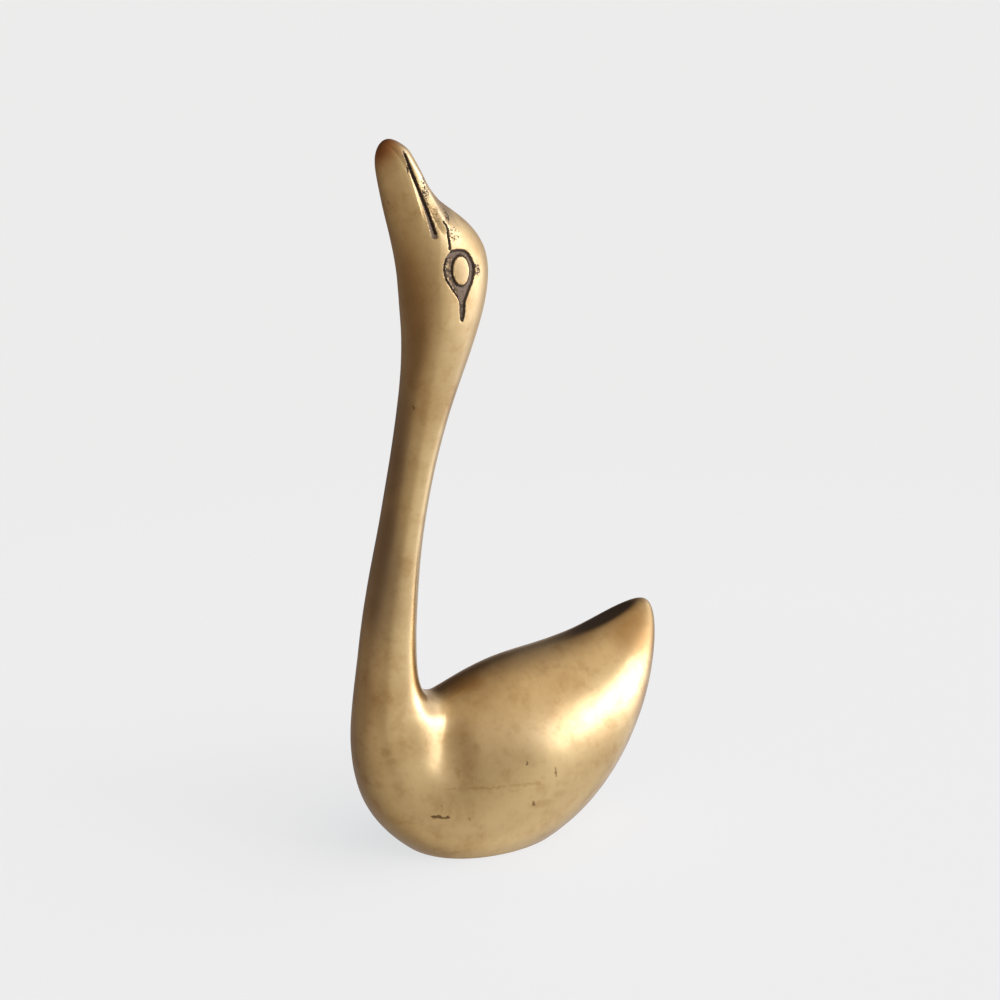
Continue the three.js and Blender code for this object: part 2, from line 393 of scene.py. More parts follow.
@dataclass(frozen=True)
class Engraving:
    """Everything that a graver and a file left on both sides of the head."""

    reach: tuple[float, float] = (140.0, 190.0)
    eye: Eye = field(default_factory=Eye)
    mouth: DrawnLine = DrawnLine(
        ((-7.3, 185.6), (-5.9, 181.2), (-4.2, 177.0), (-2.8, 172.8), (-1.8, 169.0), (-0.9, 165.2)),
        0.3, 1.5, 0.45,
    )
    mouth_core: DrawnLine = DrawnLine(
        ((-7.0, 185.0), (-5.6, 181.2), (-3.85, 177.0), (-2.4, 172.8), (-1.4, 169.0), (-0.6, 165.9)),
        0.45, 0.75, 0.9,
    )
    crack: DrawnLine = DrawnLine(
        ((1.6, 168.4), (2.4, 167.0), (2.6, 165.4), (2.8, 163.5), (2.8, 162.0)), 0.45, 0.75, 0.3,
    )
    mouth_grime: float = 0.3
    rim_grime: float = 0.42
    rim_reach: float = 0.5
    patches: tuple[Patch, ...] = (
        Patch((3.0, 169.6), (1.1, 2.4), 0.62),
        Patch((4.4, 165.4), (2.2, 2.4), 0.5),
        Patch((10.7, 156.4), (1.5, 2.2), 0.6),
        Patch((-2.2, 176.0), (1.3, 8.0), 0.55),
        Patch((-0.2, 169.5), (1.2, 3.4), 0.48),
        Patch((-6.4, 181.8), (0.5, 1.6), 0.65),
        Patch((-7.4, 184.2), (0.4, 1.2), 0.5),
    )
    pit_depth: float = 0.07
    pit_size: float = 0.45
    least_grime: float = 0.05
    crest: FiledEdge = FiledEdge(
        ((-8.6, 188.4), (-6.8, 185.6), (-5.1, 182.4), (-3.0, 179.2), (-1.2, 175.8), (0.2, 172.6),
         (1.2, 170.0), (2.4, 167.3), (4.2, 164.6)),
        0.75, 1.9, 3.8,
    )
    edges: tuple[FiledEdge, ...] = (
        FiledEdge(
            ((0.6, 168.0), (0.4, 164.3), (0.1, 159.4), (-0.4, 154.5), (-0.3, 149.6), (-0.3, 140.0)),
            0.2, 3.5, 3.5,
        ),
        FiledEdge(
            ((-6.9, 182.6), (-5.7, 178.9), (-4.9, 175.5), (-4.1, 171.9), (-3.3, 168.2)),
            0.16, 1.6, 0.45,
        ),
    )
    wall: float = 0.35
    lip: float = 0.05

    def lines(self) -> tuple[DrawnLine, ...]:
        """The lines that are cut."""
        return (self.mouth, self.mouth_core, self.crack)

    def relief(self, spot: np.ndarray) -> np.ndarray:
        """How high the metal stands at each spot, below zero where it is cut away."""
        height = self.eye.relief(spot)
        for line in self.lines():
            cut = line.depth * smooth_step(self.lip, -self.wall, line.edge(spot))
            height = np.minimum(height, -cut)
        return height + sum(edge.relief(spot) for edge in (self.crest, *self.edges))

    def ground(self, spot: np.ndarray) -> np.ndarray:
        """Where the dark engraved ground is: 1 on it, 0 off it, with soft edges."""
        edge = np.minimum.reduce([self.eye.edge(spot), self.mouth.edge(spot), self.crack.edge(spot)])
        return np.maximum(smooth_step(*SOFT_EDGE, edge), self.eye.lid(spot))

    def grime(self, spot: np.ndarray) -> np.ndarray:
        """How much dirt sits at each spot, from 0 to 1."""
        mouth, crack = self.mouth.edge(spot), self.crack.edge(spot)
        rim = np.minimum.reduce([self.eye.edge(spot), crack])
        return np.maximum.reduce([
            self.eye.grime(spot),
            self.mouth_grime * smooth_step(*CRISP_EDGE, mouth),
            smooth_step(*DIRTY_EDGE, self.mouth_core.edge(spot)),
            smooth_step(*CRISP_EDGE, crack),
            self.rim_grime * smooth_step(self.rim_reach, 0.0, rim),
            *(patch.amount(spot) for patch in self.patches),
        ])

    def pits(self, points: np.ndarray, grime: np.ndarray) -> np.ndarray:
        """How deep the fine pits of dirty metal are at each point."""
        deep = np.zeros(len(points))
        for i in np.flatnonzero(grime > self.least_grime):
            deep[i] = max(noise.noise(Vector(points[i] / self.pit_size)), 0.0)
        return self.pit_depth * np.minimum(2.0 * grime, 1.0) * 2.0 * deep


@dataclass(frozen=True)
class TailTop:
    """The filed top of the tail: a hollow along an arc through one [y, z] point.

    dark_depth says how far below the arc its dark colour reaches, at some y.
    """

    middle: Drawn = (57.0, 55.6)
    rise: float = math.radians(18.5)
    radius: float = 120.0
    start: tuple[float, float] = (34.0, 46.0)
    lowest: float = 40.0
    rub: float = 0.3
    dark_start: tuple[float, float] = (33.0, 50.0)
    dark_depth: tuple[Drawn, ...] = ((36.0, 0.2), (44.0, 0.35), (52.0, 0.25), (60.0, -0.1), (68.0, -0.2))
    dark_fade: float = 0.4

    def height(self, y: np.ndarray) -> np.ndarray:
        """The height of the filed surface at each y."""
        down = self.rise - math.pi / 2
        centre_y = self.middle[0] - self.radius * math.cos(down)
        centre_z = self.middle[1] - self.radius * math.sin(down)
        return centre_z - np.sqrt(self.radius**2 - (y - centre_y) ** 2)

    def file_down(self, points: np.ndarray) -> tuple[np.ndarray, np.ndarray]:
        """Brings the points above the filed surface down to it, with a rubbed rim.

        Args:
            points: an array of [x, y, z] points.

        Returns:
            The points, and how dark the filed surface is coloured at each, from 0 to 1.
        """
        near = (points[:, 1] > self.start[0]) & (points[:, 2] > self.lowest)
        y = points[near, 1]
        over = (points[near, 2] - self.height(y)) / self.rub
        filed = points.copy()
        filed[near, 2] -= self.rub * np.logaddexp(0.0, over) * smooth_step(*self.start, y)
        depth = np.interp(y, *zip(*self.dark_depth))
        dark = smooth_step(-depth - self.dark_fade, -depth + self.dark_fade, over * self.rub)
        share = np.zeros(len(points))
        share[near] = dark * smooth_step(*self.dark_start, y)
        return filed, share


@dataclass(frozen=True)
class HandWork:
    """The unevenness that files and polishing leave.

    swells are heights and sizes, and the valley runs down both sides from the foot of the neck.
    """

    swells: tuple[tuple[float, float], ...] = ((0.07, 12.0), (0.022, 4.0), (0.006, 1.4))
    foot_valley: Patch = Patch((-0.2, 31.0), (4.2, 7.5), 0.85, blur=1.0)

    def height(self, points: np.ndarray) -> np.ndarray:
        """How high the metal stands at each point, never above the drawn skin."""
        swell = [
            sum(height * (noise.noise(Vector(point / size)) - 1.0) for height, size in self.swells)
            for point in points
        ]
        return np.array(swell) - self.foot_valley.amount(points[:, 1:3])


@dataclass
class CastSwan:
    """The whole figurine, one casting that is filed, engraved and polished by hand."""

    loft: Loft = field(default_factory=lambda: Loft(SECTIONS))
    engraving: Engraving = field(default_factory=Engraving)
    tail_top: TailTop = field(default_factory=TailTop)
    hand_work: HandWork = field(default_factory=HandWork)
    points_around: int = 200
    ring_stops: tuple[tuple[str, int], ...] = (
        ("bill tip", 0), ("nape", 250), ("rump", 405), ("tail tip", 480),
    )
    side_crowding: float = 0.25
    base_rub: float = 0.25
    sharp_angle: float = math.radians(40.0)
    relief_from: tuple[float, float] = (0.0, 3.0)

    def build(self) -> bpy.types.Object:
        """Makes the casting.

        Returns:
            The finished object, in metres, in the frame of the solid.
        """
        mesh = bpy.data.meshes.new("cast_swan")
        self.skin().to_mesh(mesh)
        self.engrave(mesh)
        for polygon in mesh.polygons:
            polygon.use_smooth = True
        mesh.set_sharp_from_angle(angle=self.sharp_angle)
        piece = bpy.data.objects.new("cast_swan", mesh)
        bpy.context.scene.collection.objects.link(piece)
        return piece

    def places(self, share: np.ndarray) -> np.ndarray:
        """The place along the bird of each ring, from its share of the way between the poles."""
        rings = [ring for _, ring in self.ring_stops]
        stops = [self.loft.place_of(name) for name, _ in self.ring_stops]
        return np.interp(share * rings[-1], rings, stops)

    def skin(self) -> bmesh.types.BMesh:
        """Shapes a ball into the bird and rests it on its flat underside.

        Returns:
            The closed shell, drawn in millimetres.
        """
        shell = bmesh.new()
        dark_top = shell.verts.layers.float.new(DARK_TOP_FIELD)
        ball = bmesh.ops.create_uvsphere(
            shell,
            u_segments=self.points_around,
            v_segments=self.ring_stops[-1][1],
            radius=1.0,
        )["verts"]
        spots = np.array([vertex.co for vertex in ball], float)
        share = np.arctan2(np.hypot(spots[:, 0], spots[:, 1]), spots[:, 2]) / math.pi
        turns = np.arctan2(spots[:, 1], spots[:, 0]) + math.pi / 2
        turns += self.side_crowding * np.sin(2.0 * turns)
        points, filed = self.tail_top.file_down(self.loft.points(self.places(share), turns))
        for vertex, point, amount in zip(ball, points, filed):
            vertex.co = point
            vertex[dark_top] = amount
        self.rest(shell)
        return shell

    def rest(self, shell: bmesh.types.BMesh) -> None:
        """Cuts the shell flat above the table and closes it with a slightly rubbed underside."""
        everything = [*shell.verts, *shell.edges, *shell.faces]
        cut = bmesh.ops.bisect_plane(
            shell,
            geom=everything,
            plane_co=(0.0, 0.0, self.base_rub),
            plane_no=(0.0, 0.0, -1.0),
            clear_outer=True,
        )["geom_cut"]
        rim = [part for part in cut if isinstance(part, bmesh.types.BMEdge)]
        base = bmesh.ops.contextual_create(shell, geom=rim)["faces"]
        bmesh.ops.inset_region(shell, faces=base, thickness=self.base_rub)
        bmesh.ops.translate(shell, vec=(0.0, 0.0, -self.base_rub), verts=base[0].verts)
        bmesh.ops.recalc_face_normals(shell, faces=shell.faces)

    def engrave(self, mesh: bpy.types.Mesh) -> None:
        """Cuts and raises the relief, stores where it is, and puts the mesh in its frame.

        Args:
            mesh: the smooth shell, drawn in millimetres.
        """
        count = len(mesh.vertices)
        points = np.empty(count * 3, np.float32)
        mesh.vertices.foreach_get("co", points)
        points = points.reshape(-1, 3).astype(float)
        normals = np.empty(count * 3, np.float32)
        mesh.vertex_normals.foreach_get("vector", normals)
        normals = normals.reshape(-1, 3)
        low, high = self.engraving.reach
        head = (points[:, 2] > low) & (points[:, 2] < high)
        side = points[head, 1:3]
        height, ground, grime, wear_and_highlight = np.zeros((4, count))
        ground[head] = self.engraving.ground(side)
        grime[head] = self.engraving.grime(side)
        # The crest's rubbed metal and its painted highlight.
        wear_and_highlight[head] = self.engraving.crest.wear_and_highlight(side)
        height[head] = self.engraving.relief(side) - self.engraving.pits(points[head], grime[head])
        height += self.hand_work.height(points)
        height *= smooth_step(*self.relief_from, points[:, 2])
        points += normals * height[:, None]
        points[:, 1] -= NOTCH_TO_MIDDLE
        mesh.vertices.foreach_set("co", (points * MM).astype(np.float32).ravel())
        for name, amount in ((GROUND_FIELD, ground), (GRIME_FIELD, grime), (WEAR_AND_HIGHLIGHT_FIELD, wear_and_highlight)):
            store = mesh.attributes.new(name, "FLOAT", "POINT")
            store.data.foreach_set("value", amount.astype(np.float32))
        mesh.update()


class Signal:
    """A socket that carries a number, so that shader maths reads as Python expressions."""

    def __init__(self, bench: "Bench", socket: bpy.types.NodeSocket) -> None:
        """Wraps one output socket of a bench's nodes."""
        self.bench = bench
        self.socket = socket

    def __add__(self, other: "Signal | float") -> "Signal":
        """The sum."""
        return self.bench.math("ADD", self, other)

    __radd__ = __add__

    def __sub__(self, other: "Signal | float") -> "Signal":
        """The difference."""
        return self.bench.math("SUBTRACT", self, other)

    def __rsub__(self, other: "Signal | float") -> "Signal":
        """The difference, the other way round."""
        return self.bench.math("SUBTRACT", other, self)

    def __mul__(self, other: "Signal | float") -> "Signal":
        """The product."""
        return self.bench.math("MULTIPLY", self, other)

    __rmul__ = __mul__


Value = Signal | float | tuple


@dataclass(frozen=True)
class Speckle:
    """Soft noise: the size of its swells in millimetres, how fine it goes and how rough it is."""

    size: float
    detail: float
    rough: float = 0.5


class Bench:
    """Makes and joins the nodes of one material or world."""

    def __init__(self, tree: bpy.types.NodeTree) -> None:
        """Starts on a cleared node tree."""
        self.tree = tree
        tree.nodes.clear()

    def node(
        self,
        kind: str,
        settings: dict[str, object] | None = None,
        sockets: dict[int | str, Value] | None = None,
    ) -> bpy.types.Node:
        """Makes one node.

        Args:
            kind: the node's type.
            settings: its properties, which are set first.
            sockets: values or links for its input sockets, by name or number.

        Returns:
            The node.
        """
        made = self.tree.nodes.new(kind)
        for name, value in (settings or {}).items():
            setattr(made, name, value)
        for name, value in (sockets or {}).items():
            if isinstance(value, Signal):
                self.tree.links.new(value.socket, made.inputs[name])
            else:
                made.inputs[name].default_value = value
        return made

    def out(self, node: bpy.types.Node, socket: int | str = 0) -> Signal:
        """One output of a node."""
        return Signal(self, node.outputs[socket])

    def math(self, operation: str, *values: Signal | float) -> Signal:
        """A Math node on numbers."""
        return self.out(self.node("ShaderNodeMath", {"operation": operation}, dict(enumerate(values))))

    def vector(self, operation: str, *values: Value, output: int = 0) -> Signal:
        """A Vector Math node."""
        made = self.node("ShaderNodeVectorMath", {"operation": operation}, dict(enumerate(values)))
        return self.out(made, output)

    def step(self, value: Signal, low: float, high: float, to: float = 1.0) -> Signal:
        """Goes smoothly from 0 to a height while a value goes from low to high."""
        start, end = (0.0, to) if low < high else (to, 0.0)
        sockets = {0: value, 1: min(low, high), 2: max(low, high), 3: start, 4: end}
        return self.out(self.node("ShaderNodeMapRange", {"interpolation_type": "SMOOTHSTEP"}, sockets))

    def mix(self, share: Signal | float, first: Value, second: Value) -> Signal:
        """A mix of two colours."""
        settings = {"data_type": "RGBA", "clamp_factor": True}
        first, second = ((*c, 1.0) if isinstance(c, tuple) else c for c in (first, second))
        return self.out(self.node("ShaderNodeMix", settings, {0: share, 6: first, 7: second}), 2)

    def noise(self, place: Signal, kind: Speckle) -> Signal:
        """Soft noise around one half."""
        sockets = {
            "Vector": place, "Scale": 1.0 / kind.size, "Detail": kind.detail, "Roughness": kind.rough,
        }
        return self.out(self.node("ShaderNodeTexNoise", None, sockets))


class BlemishAndShade(Enum):
    """What age has done to a place on the brass, or painted shade laid on it like a stain or a film."""

    STAIN = "a brown stain with soft edges"
    FILM = "a dull, darker film"
    PIT = "a dark pit or scratch"


@dataclass(frozen=True)
class Mark:
    """A blemish or a patch of painted shade, at a drawn [x, y, z] point, of a size along X, Y and Z."""

    centre: tuple[float, float, float]
    size: tuple[float, float, float]
    strength: float
    kind: BlemishAndShade = BlemishAndShade.STAIN


@dataclass(frozen=True)
class Scratch:
    """A thin blemish between two drawn points."""

    start: tuple[float, float, float]
    end: tuple[float, float, float]
    half_width: float
    strength: float
    kind: BlemishAndShade = BlemishAndShade.PIT


@dataclass(frozen=True)
class BrassFinish:
    """Old brass that hands have rubbed bright, with brown in its low places, painted shade and a painted
    highlight.
    """

    bright: Colour = (0.56, 0.43, 0.23)
    brown: Colour = (0.34, 0.20, 0.075)
    copper: Colour = (0.41, 0.20, 0.08)
    film_and_shade: Colour = (0.26, 0.20, 0.13)
    # Rubbed metal with a painted highlight, laid along the bill's crest.
    wear_and_highlight: Colour = (0.78, 0.66, 0.44)
    pitted: Colour = (0.13, 0.075, 0.035)
    dirt: Colour = (0.060, 0.040, 0.024)
    ground: Colour = (0.20, 0.15, 0.12)
    ground_shine: Colour = (0.34, 0.27, 0.15)
    dark_top_colour: Colour = (0.07, 0.06, 0.05)
    roughness: float = 0.24
    head_roughness: float = 0.42
    satin_from: tuple[float, float] = (118.0, 150.0)
    tip_centre: tuple[float, float, float] = (0.0, -12.0, 187.5)
    tip_reach: tuple[float, float] = (2.5, 8.0)
    cloud: Speckle = Speckle(14.0, 3.0)
    smear: Speckle = Speckle(5.0, 3.0, 0.6)
    fine: Speckle = Speckle(1.6, 4.0, 0.6)
    dust: Speckle = Speckle(0.34, 3.0, 0.75)
    crumb: Speckle = Speckle(0.8, 3.0, 0.6)
    cloud_brown: Ramp = (0.42, 0.72, 0.4)
    smear_brown: Ramp = (0.46, 0.72, 0.3)
    fine_brown: Ramp = (0.5, 0.8, 0.2)
    cloud_rough: float = 0.1
    smear_rough: float = 0.12
    fine_rough: float = 0.08
    stain_cover: float = 0.75
    stain_rough: float = 0.1
    pit_rough: float = 0.2
    ragged_scale: float = 1.2
    ragged_reach: float = 1.6
    mark_fade: tuple[float, float] = (1.3, 0.4)
    scratch_fade: tuple[float, float] = (1.4, 0.4)
    dust_share: float = 0.55
    crumb_share: float = 0.45
    ground_waver: float = 1.3
    ground_edge: tuple[float, float] = (0.35, 0.6)
    ground_rubbed: Ramp = (0.48, 0.66, 0.8)
    grime_weight: float = 0.5
    grime_edge: tuple[float, float] = (0.72, 0.84)
    dark_top_cover: float = 0.85
    dark_top_rough: float = 0.12
    dull_rough: float = 0.3
    dull_metal: float = 0.6
    lines_up: Speckle = Speckle(0.3, 2.0)
    lines_along: Speckle = Speckle(0.35, 2.0)
    line_stretch: float = 0.08
    line_height: float = 0.004
    line_strength: float = 0.5
    marks: tuple[Mark, ...] = (
        Mark((9.6, -0.8, 36.8), (0.5, 0.5, 0.6), 0.9, BlemishAndShade.PIT),
        Mark((21.1, 18.9, 26.1), (0.5, 0.5, 0.7), 0.9, BlemishAndShade.PIT),
        Mark((23.0, 26.7, 22.5), (0.5, 0.4, 1.7), 0.85, BlemishAndShade.PIT),
        Mark((23.7, 19.6, 15.2), (0.6, 0.6, 0.8), 0.9, BlemishAndShade.PIT),
        Mark((23.7, 22.0, 14.8), (2.0, 4.2, 1.2), 0.4),
        Mark((23.5, 27.5, 16.4), (1.5, 2.6, 1.2), 0.3),
        Mark((15.4, 1.3, 25.4), (1.2, 0.9, 2.4), 0.6),
        Mark((17.3, 1.9, 21.5), (1.5, 1.5, 2.2), 0.4),
        Mark((9.6, -17.1, 31.8), (1.4, 1.6, 1.4), 0.5),
        Mark((10.6, -15.6, 29.4), (1.2, 1.6, 0.9), 0.4),
        Mark((8.2, -18.6, 22.5), (1.5, 1.6, 1.3), 0.4),
        Mark((16.6, 18.3, 34.5), (1.5, 1.4, 1.7), 0.3),
        Mark((15.2, 7.3, 30.5), (1.2, 1.0, 1.8), 0.3),
        Mark((20.1, 2.4, 13.1), (0.4, 0.4, 0.5), 0.7, BlemishAndShade.PIT),
        Mark((4.7, -5.4, 122.0), (0.4, 0.4, 0.7), 0.9, BlemishAndShade.PIT),
        Mark((2.3, -10.4, 173.2), (0.5, 0.4, 0.6), 0.9, BlemishAndShade.PIT),
        Mark((3.2, -9.8, 172.3), (0.4, 0.4, 0.5), 0.7, BlemishAndShade.PIT),
        # Painted dark reflection of the neck on the back, behind the notch.
        Mark((3.5, 8.5, 44.5), (5.0, 7.0, 2.4), 0.95),
        Mark((8.0, 61.0, 52.0), (7.0, 9.0, 9.0), 1.0),
        Mark((10.8, 5.6, 156.5), (2.0, 2.2, 3.4), 0.45, BlemishAndShade.FILM),
        # Painted shade on the top of the bill, behind its crest.
        Mark((0.0, 3.2, 175.0), (6.5, 3.2, 7.0), 0.95),
        Mark((4.4, 3.6, 173.0), (5.0, 3.0, 9.0), 0.9, BlemishAndShade.FILM),
        Mark((8.5, -3.5, 40.0), (3.0, 3.5, 5.0), 0.5, BlemishAndShade.FILM),
        # Painted shade down the front of the neck, the side turned away from the light.
        Mark((-1.0, -9.5, 112.0), (6.5, 5.0, 26.0), 0.95, BlemishAndShade.FILM),
        Mark((2.5, -14.5, 82.0), (7.0, 6.5, 30.0), 0.95, BlemishAndShade.FILM),
        Mark((5.0, -7.0, 146.0), (8.0, 6.5, 22.0), 1.0),
    )
    scratches: tuple[Scratch, ...] = (
        Scratch((16.3, -7.2, 14.3), (17.9, -2.7, 13.7), 0.4, 0.95),
        Scratch((16.5, -3.9, 18.8), (17.2, -4.8, 14.0), 0.2, 0.6),
        Scratch((16.1, -1.8, 21.0), (20.1, 8.3, 20.7), 0.45, 0.55, BlemishAndShade.STAIN),
        Scratch((20.1, 8.3, 20.7), (23.2, 21.7, 20.6), 0.45, 0.5, BlemishAndShade.STAIN),
    )

    def dress(self, piece: bpy.types.Object) -> None:
        """Gives the piece this finish.

        Args:
            piece: the casting, whose mesh says where its grounds, grime, crest highlight and dark tail
                top are.
        """
        material = bpy.data.materials.new("rubbed_brass")
        material.use_nodes = True
        bench = Bench(material.node_tree)
        place = self.drawn_place(bench)
        colour, roughness = self.metal(bench, place)
        colour, roughness, metallic = self.grounds(bench, place, colour, roughness)
        shader = bench.node("ShaderNodeBsdfPrincipled", None, {
            "Base Color": colour,
            "Roughness": roughness,
            "Metallic": metallic,
            "Normal": self.grain(bench, place),
        })
        output = bench.node("ShaderNodeOutputMaterial")
        bench.tree.links.new(shader.outputs[0], output.inputs[0])
        piece.data.materials.append(material)

    def drawn_place(self, bench: Bench) -> Signal:
        """The place on the bird in the drawing's millimetres."""
        coordinates = bench.out(bench.node("ShaderNodeTexCoord"), "Object")
        millimetres = bench.vector("MULTIPLY", coordinates, (1 / MM,) * 3)
        return bench.vector("ADD", millimetres, (0.0, NOTCH_TO_MIDDLE, 0.0))

    def metal(self, bench: Bench, place: Signal) -> tuple[Signal, Signal]:
        """The metal's own colour and roughness.

        Args:
            bench: where the nodes are made.
            place: the place on the bird, in the drawing's millimetres.

        Returns:
            The colour and the roughness.
        """
        cloud = bench.noise(place, self.cloud)
        smear = bench.noise(place, self.smear)
        fine = bench.noise(place, self.fine)
        patina = bench.step(cloud, *self.cloud_brown) + bench.step(smear, *self.smear_brown)
        patina = patina + bench.step(fine, *self.fine_brown)
        colour = bench.mix(patina, self.bright, self.brown)
        off_tip = bench.vector("DISTANCE", place, self.tip_centre, output=1)
        near, far = self.tip_reach
        colour = bench.mix(bench.step(off_tip, far, near), colour, self.copper)
        stain_and_shade, film_and_shade, pit = self.blemishes_and_shade(bench, place)
        # Stains and films, with painted shade and a painted dark reflection among them.
        colour = bench.mix(stain_and_shade * self.stain_cover, colour, self.brown)
        colour = bench.mix(film_and_shade * self.stain_cover, colour, self.film_and_shade)
        # Painted highlight along the bill's crest, over metal rubbed bright there.
        colour = bench.mix(self.stored(bench, WEAR_AND_HIGHLIGHT_FIELD), colour, self.wear_and_highlight)
        colour = bench.mix(pit, colour, self.pitted)
        height = bench.out(bench.node("ShaderNodeSeparateXYZ", None, {0: place}), "Z")
        satin = bench.step(height, *self.satin_from, self.head_roughness - self.roughness)
        uneven = (cloud - 0.5) * self.cloud_rough + (smear - 0.5) * self.smear_rough
        uneven = uneven + (fine - 0.5) * self.fine_rough
        roughness = self.roughness + satin + uneven + stain_and_shade * self.stain_rough + pit * self.pit_rough
        return colour, roughness

    def blemishes_and_shade(self, bench: Bench, place: Signal) -> tuple[Signal, ...]:
        """How strongly each kind of blemish, with the painted shade laid on as stains and films, shows.

        Args:
            bench: where the nodes are made.
            place: the place on the bird, in the drawing's millimetres.

        Returns:
            A strength from 0 to 1 for each kind, in the order of their names.
        """
        sockets = {"Vector": place, "Scale": self.ragged_scale, "Detail": 3.0}
        ragged = bench.node("ShaderNodeTexNoise", None, sockets)
        shift = bench.vector("SUBTRACT", bench.out(ragged, "Color"), (0.5, 0.5, 0.5))
        place = bench.vector("ADD", place, bench.vector("MULTIPLY", shift, (self.ragged_reach,) * 3))
        shown: dict[BlemishAndShade, Signal] = {}
        for mark in self.marks:
            off = bench.vector("DIVIDE", bench.vector("SUBTRACT", place, mark.centre), mark.size)
            away = bench.vector("LENGTH", off, output=1)
            here = bench.step(away, *self.mark_fade, mark.strength)
            self.add_mark(bench, shown, mark.kind, here)
        for scratch in self.scratches:
            self.add_mark(bench, shown, scratch.kind, self.scratch(bench, place, scratch))
        return tuple(shown[kind] for kind in BlemishAndShade)

    def add_mark(
        self, bench: Bench, shown: dict[BlemishAndShade, Signal], kind: BlemishAndShade, here: Signal
    ) -> None:
        """Adds one blemish or patch of painted shade to those of its kind."""
        shown[kind] = bench.math("MAXIMUM", shown[kind], here) if kind in shown else here

    def scratch(self, bench: Bench, place: Signal, scratch: Scratch) -> Signal:
        """How strongly one scratch shows."""
        run = Vector(scratch.end) - Vector(scratch.start)
        off = bench.vector("SUBTRACT", place, scratch.start)
        share = bench.vector("DOT_PRODUCT", off, tuple(run / run.length_squared), output=1)
        share = bench.math("MINIMUM", bench.math("MAXIMUM", share, 0.0), 1.0)
        spread = bench.node("ShaderNodeCombineXYZ", None, {0: share, 1: share, 2: share})
        along = bench.vector("MULTIPLY", bench.out(spread), tuple(run))
        distance = bench.vector("DISTANCE", off, along, output=1)
        outer, inner = (scratch.half_width * share for share in self.scratch_fade)
        return bench.step(distance, outer, inner, scratch.strength)

    def grounds(
        self, bench: Bench, place: Signal, colour: Signal, roughness: Signal
    ) -> tuple[Signal, Signal, Signal]:
        """Darkens the engraved grounds, the specks of dirt and the filed top of the tail.

        Args:
            bench: where the nodes are made.
            place: the place on the bird, in the drawing's millimetres.
            colour: the metal's colour.
            roughness: the metal's roughness.

        Returns:
            The colour, the roughness and how metallic the surface is.
        """
        dust = bench.noise(place, self.dust)
        crumb = bench.noise(place, self.crumb)
        specks = dust * self.dust_share + crumb * self.crumb_share
        wavering = self.stored(bench, GROUND_FIELD) + (crumb - 0.5) * self.ground_waver
        cut = bench.step(wavering, *self.ground_edge)
        ground = bench.mix(bench.step(crumb, *self.ground_rubbed), self.ground, self.ground_shine)
        colour = bench.mix(cut, colour, ground)
        dirty = self.stored(bench, GRIME_FIELD) * self.grime_weight + specks
        grime = bench.step(dirty, *self.grime_edge)
        colour = bench.mix(grime, colour, self.dirt)
        dark_top = self.stored(bench, DARK_TOP_FIELD)
        # The filed top of the tail goes nearly black.
        colour = bench.mix(dark_top * self.dark_top_cover, colour, self.dark_top_colour)
        dull = bench.math("MAXIMUM", cut, grime)
        roughness = roughness + dull * self.dull_rough + dark_top * self.dark_top_rough
        metallic = 1.0 - dull * self.dull_metal
        return colour, roughness, metallic

    def stored(self, bench: Bench, name: str) -> Signal:
        """A number that the casting's mesh stores under a name."""
        return bench.out(bench.node("ShaderNodeAttribute", {"attribute_name": name}), "Fac")

    def grain(self, bench: Bench, place: Signal) -> Signal:
        """The bump of fine rubbing lines."""
        drawn_up = bench.vector("MULTIPLY", place, (1.0, 1.0, self.line_stretch))
        up = bench.noise(drawn_up, self.lines_up)
        drawn_along = bench.vector("MULTIPLY", place, (1.0, self.line_stretch, 1.0))
        along = bench.noise(drawn_along, self.lines_along)
        height = up * 0.5 + along * 0.5
        sockets = {
            "Height": height, "Strength": self.line_strength, "Distance": self.line_height * MM,
        }
        return bench.out(bench.node("ShaderNodeBump", None, sockets))


@dataclass(frozen=True)
class SoftBox:
    """A soft light far away: where it stands, its half size in degrees, and its light.

    azimuth is counted from the bird's front over its left side, and roll turns it clockwise.
    """

    azimuth: float
    elevation: float
    half_width: float
    half_height: float
    light: Colour
    strength: float
    roll: float = 0.0
    forward: tuple[float, float] = (-0.1, 0.3)

    def axes(self) -> tuple[Vector, Vector, Vector]:
        """The directions to its middle, to its side and to its top."""
        azimuth, elevation, roll = map(math.radians, (self.azimuth, self.elevation, self.roll))
        middle = Vector((
            math.sin(azimuth) * math.cos(elevation),
            -math.cos(azimuth) * math.cos(elevation),
            math.sin(elevation),
        ))
        side = Vector((math.cos(azimuth), math.sin(azimuth), 0.0))
        top = middle.cross(side)
        return (
            middle,
            side * math.cos(roll) - top * math.sin(roll),
            top * math.cos(roll) + side * math.sin(roll),
        )

    def glow(self, bench: Bench, direction: Signal) -> Signal:
        """How bright it is in a direction, from 0 to its strength."""
        middle, side, top = self.axes()
        ahead = bench.vector("DOT_PRODUCT", direction, tuple(middle), output=1)
        across = bench.vector("DOT_PRODUCT", direction, tuple(side), output=1)
        upward = bench.vector("DOT_PRODUCT", direction, tuple(top), output=1)
        across = across * (1.0 / math.sin(math.radians(min(self.half_width, 90.0))))
        upward = upward * (1.0 / math.sin(math.radians(min(self.half_height, 90.0))))
        fall = bench.math("EXPONENT", (across * across + upward * upward) * -1.0)
        return fall * bench.step(ahead, *self.forward, self.strength)


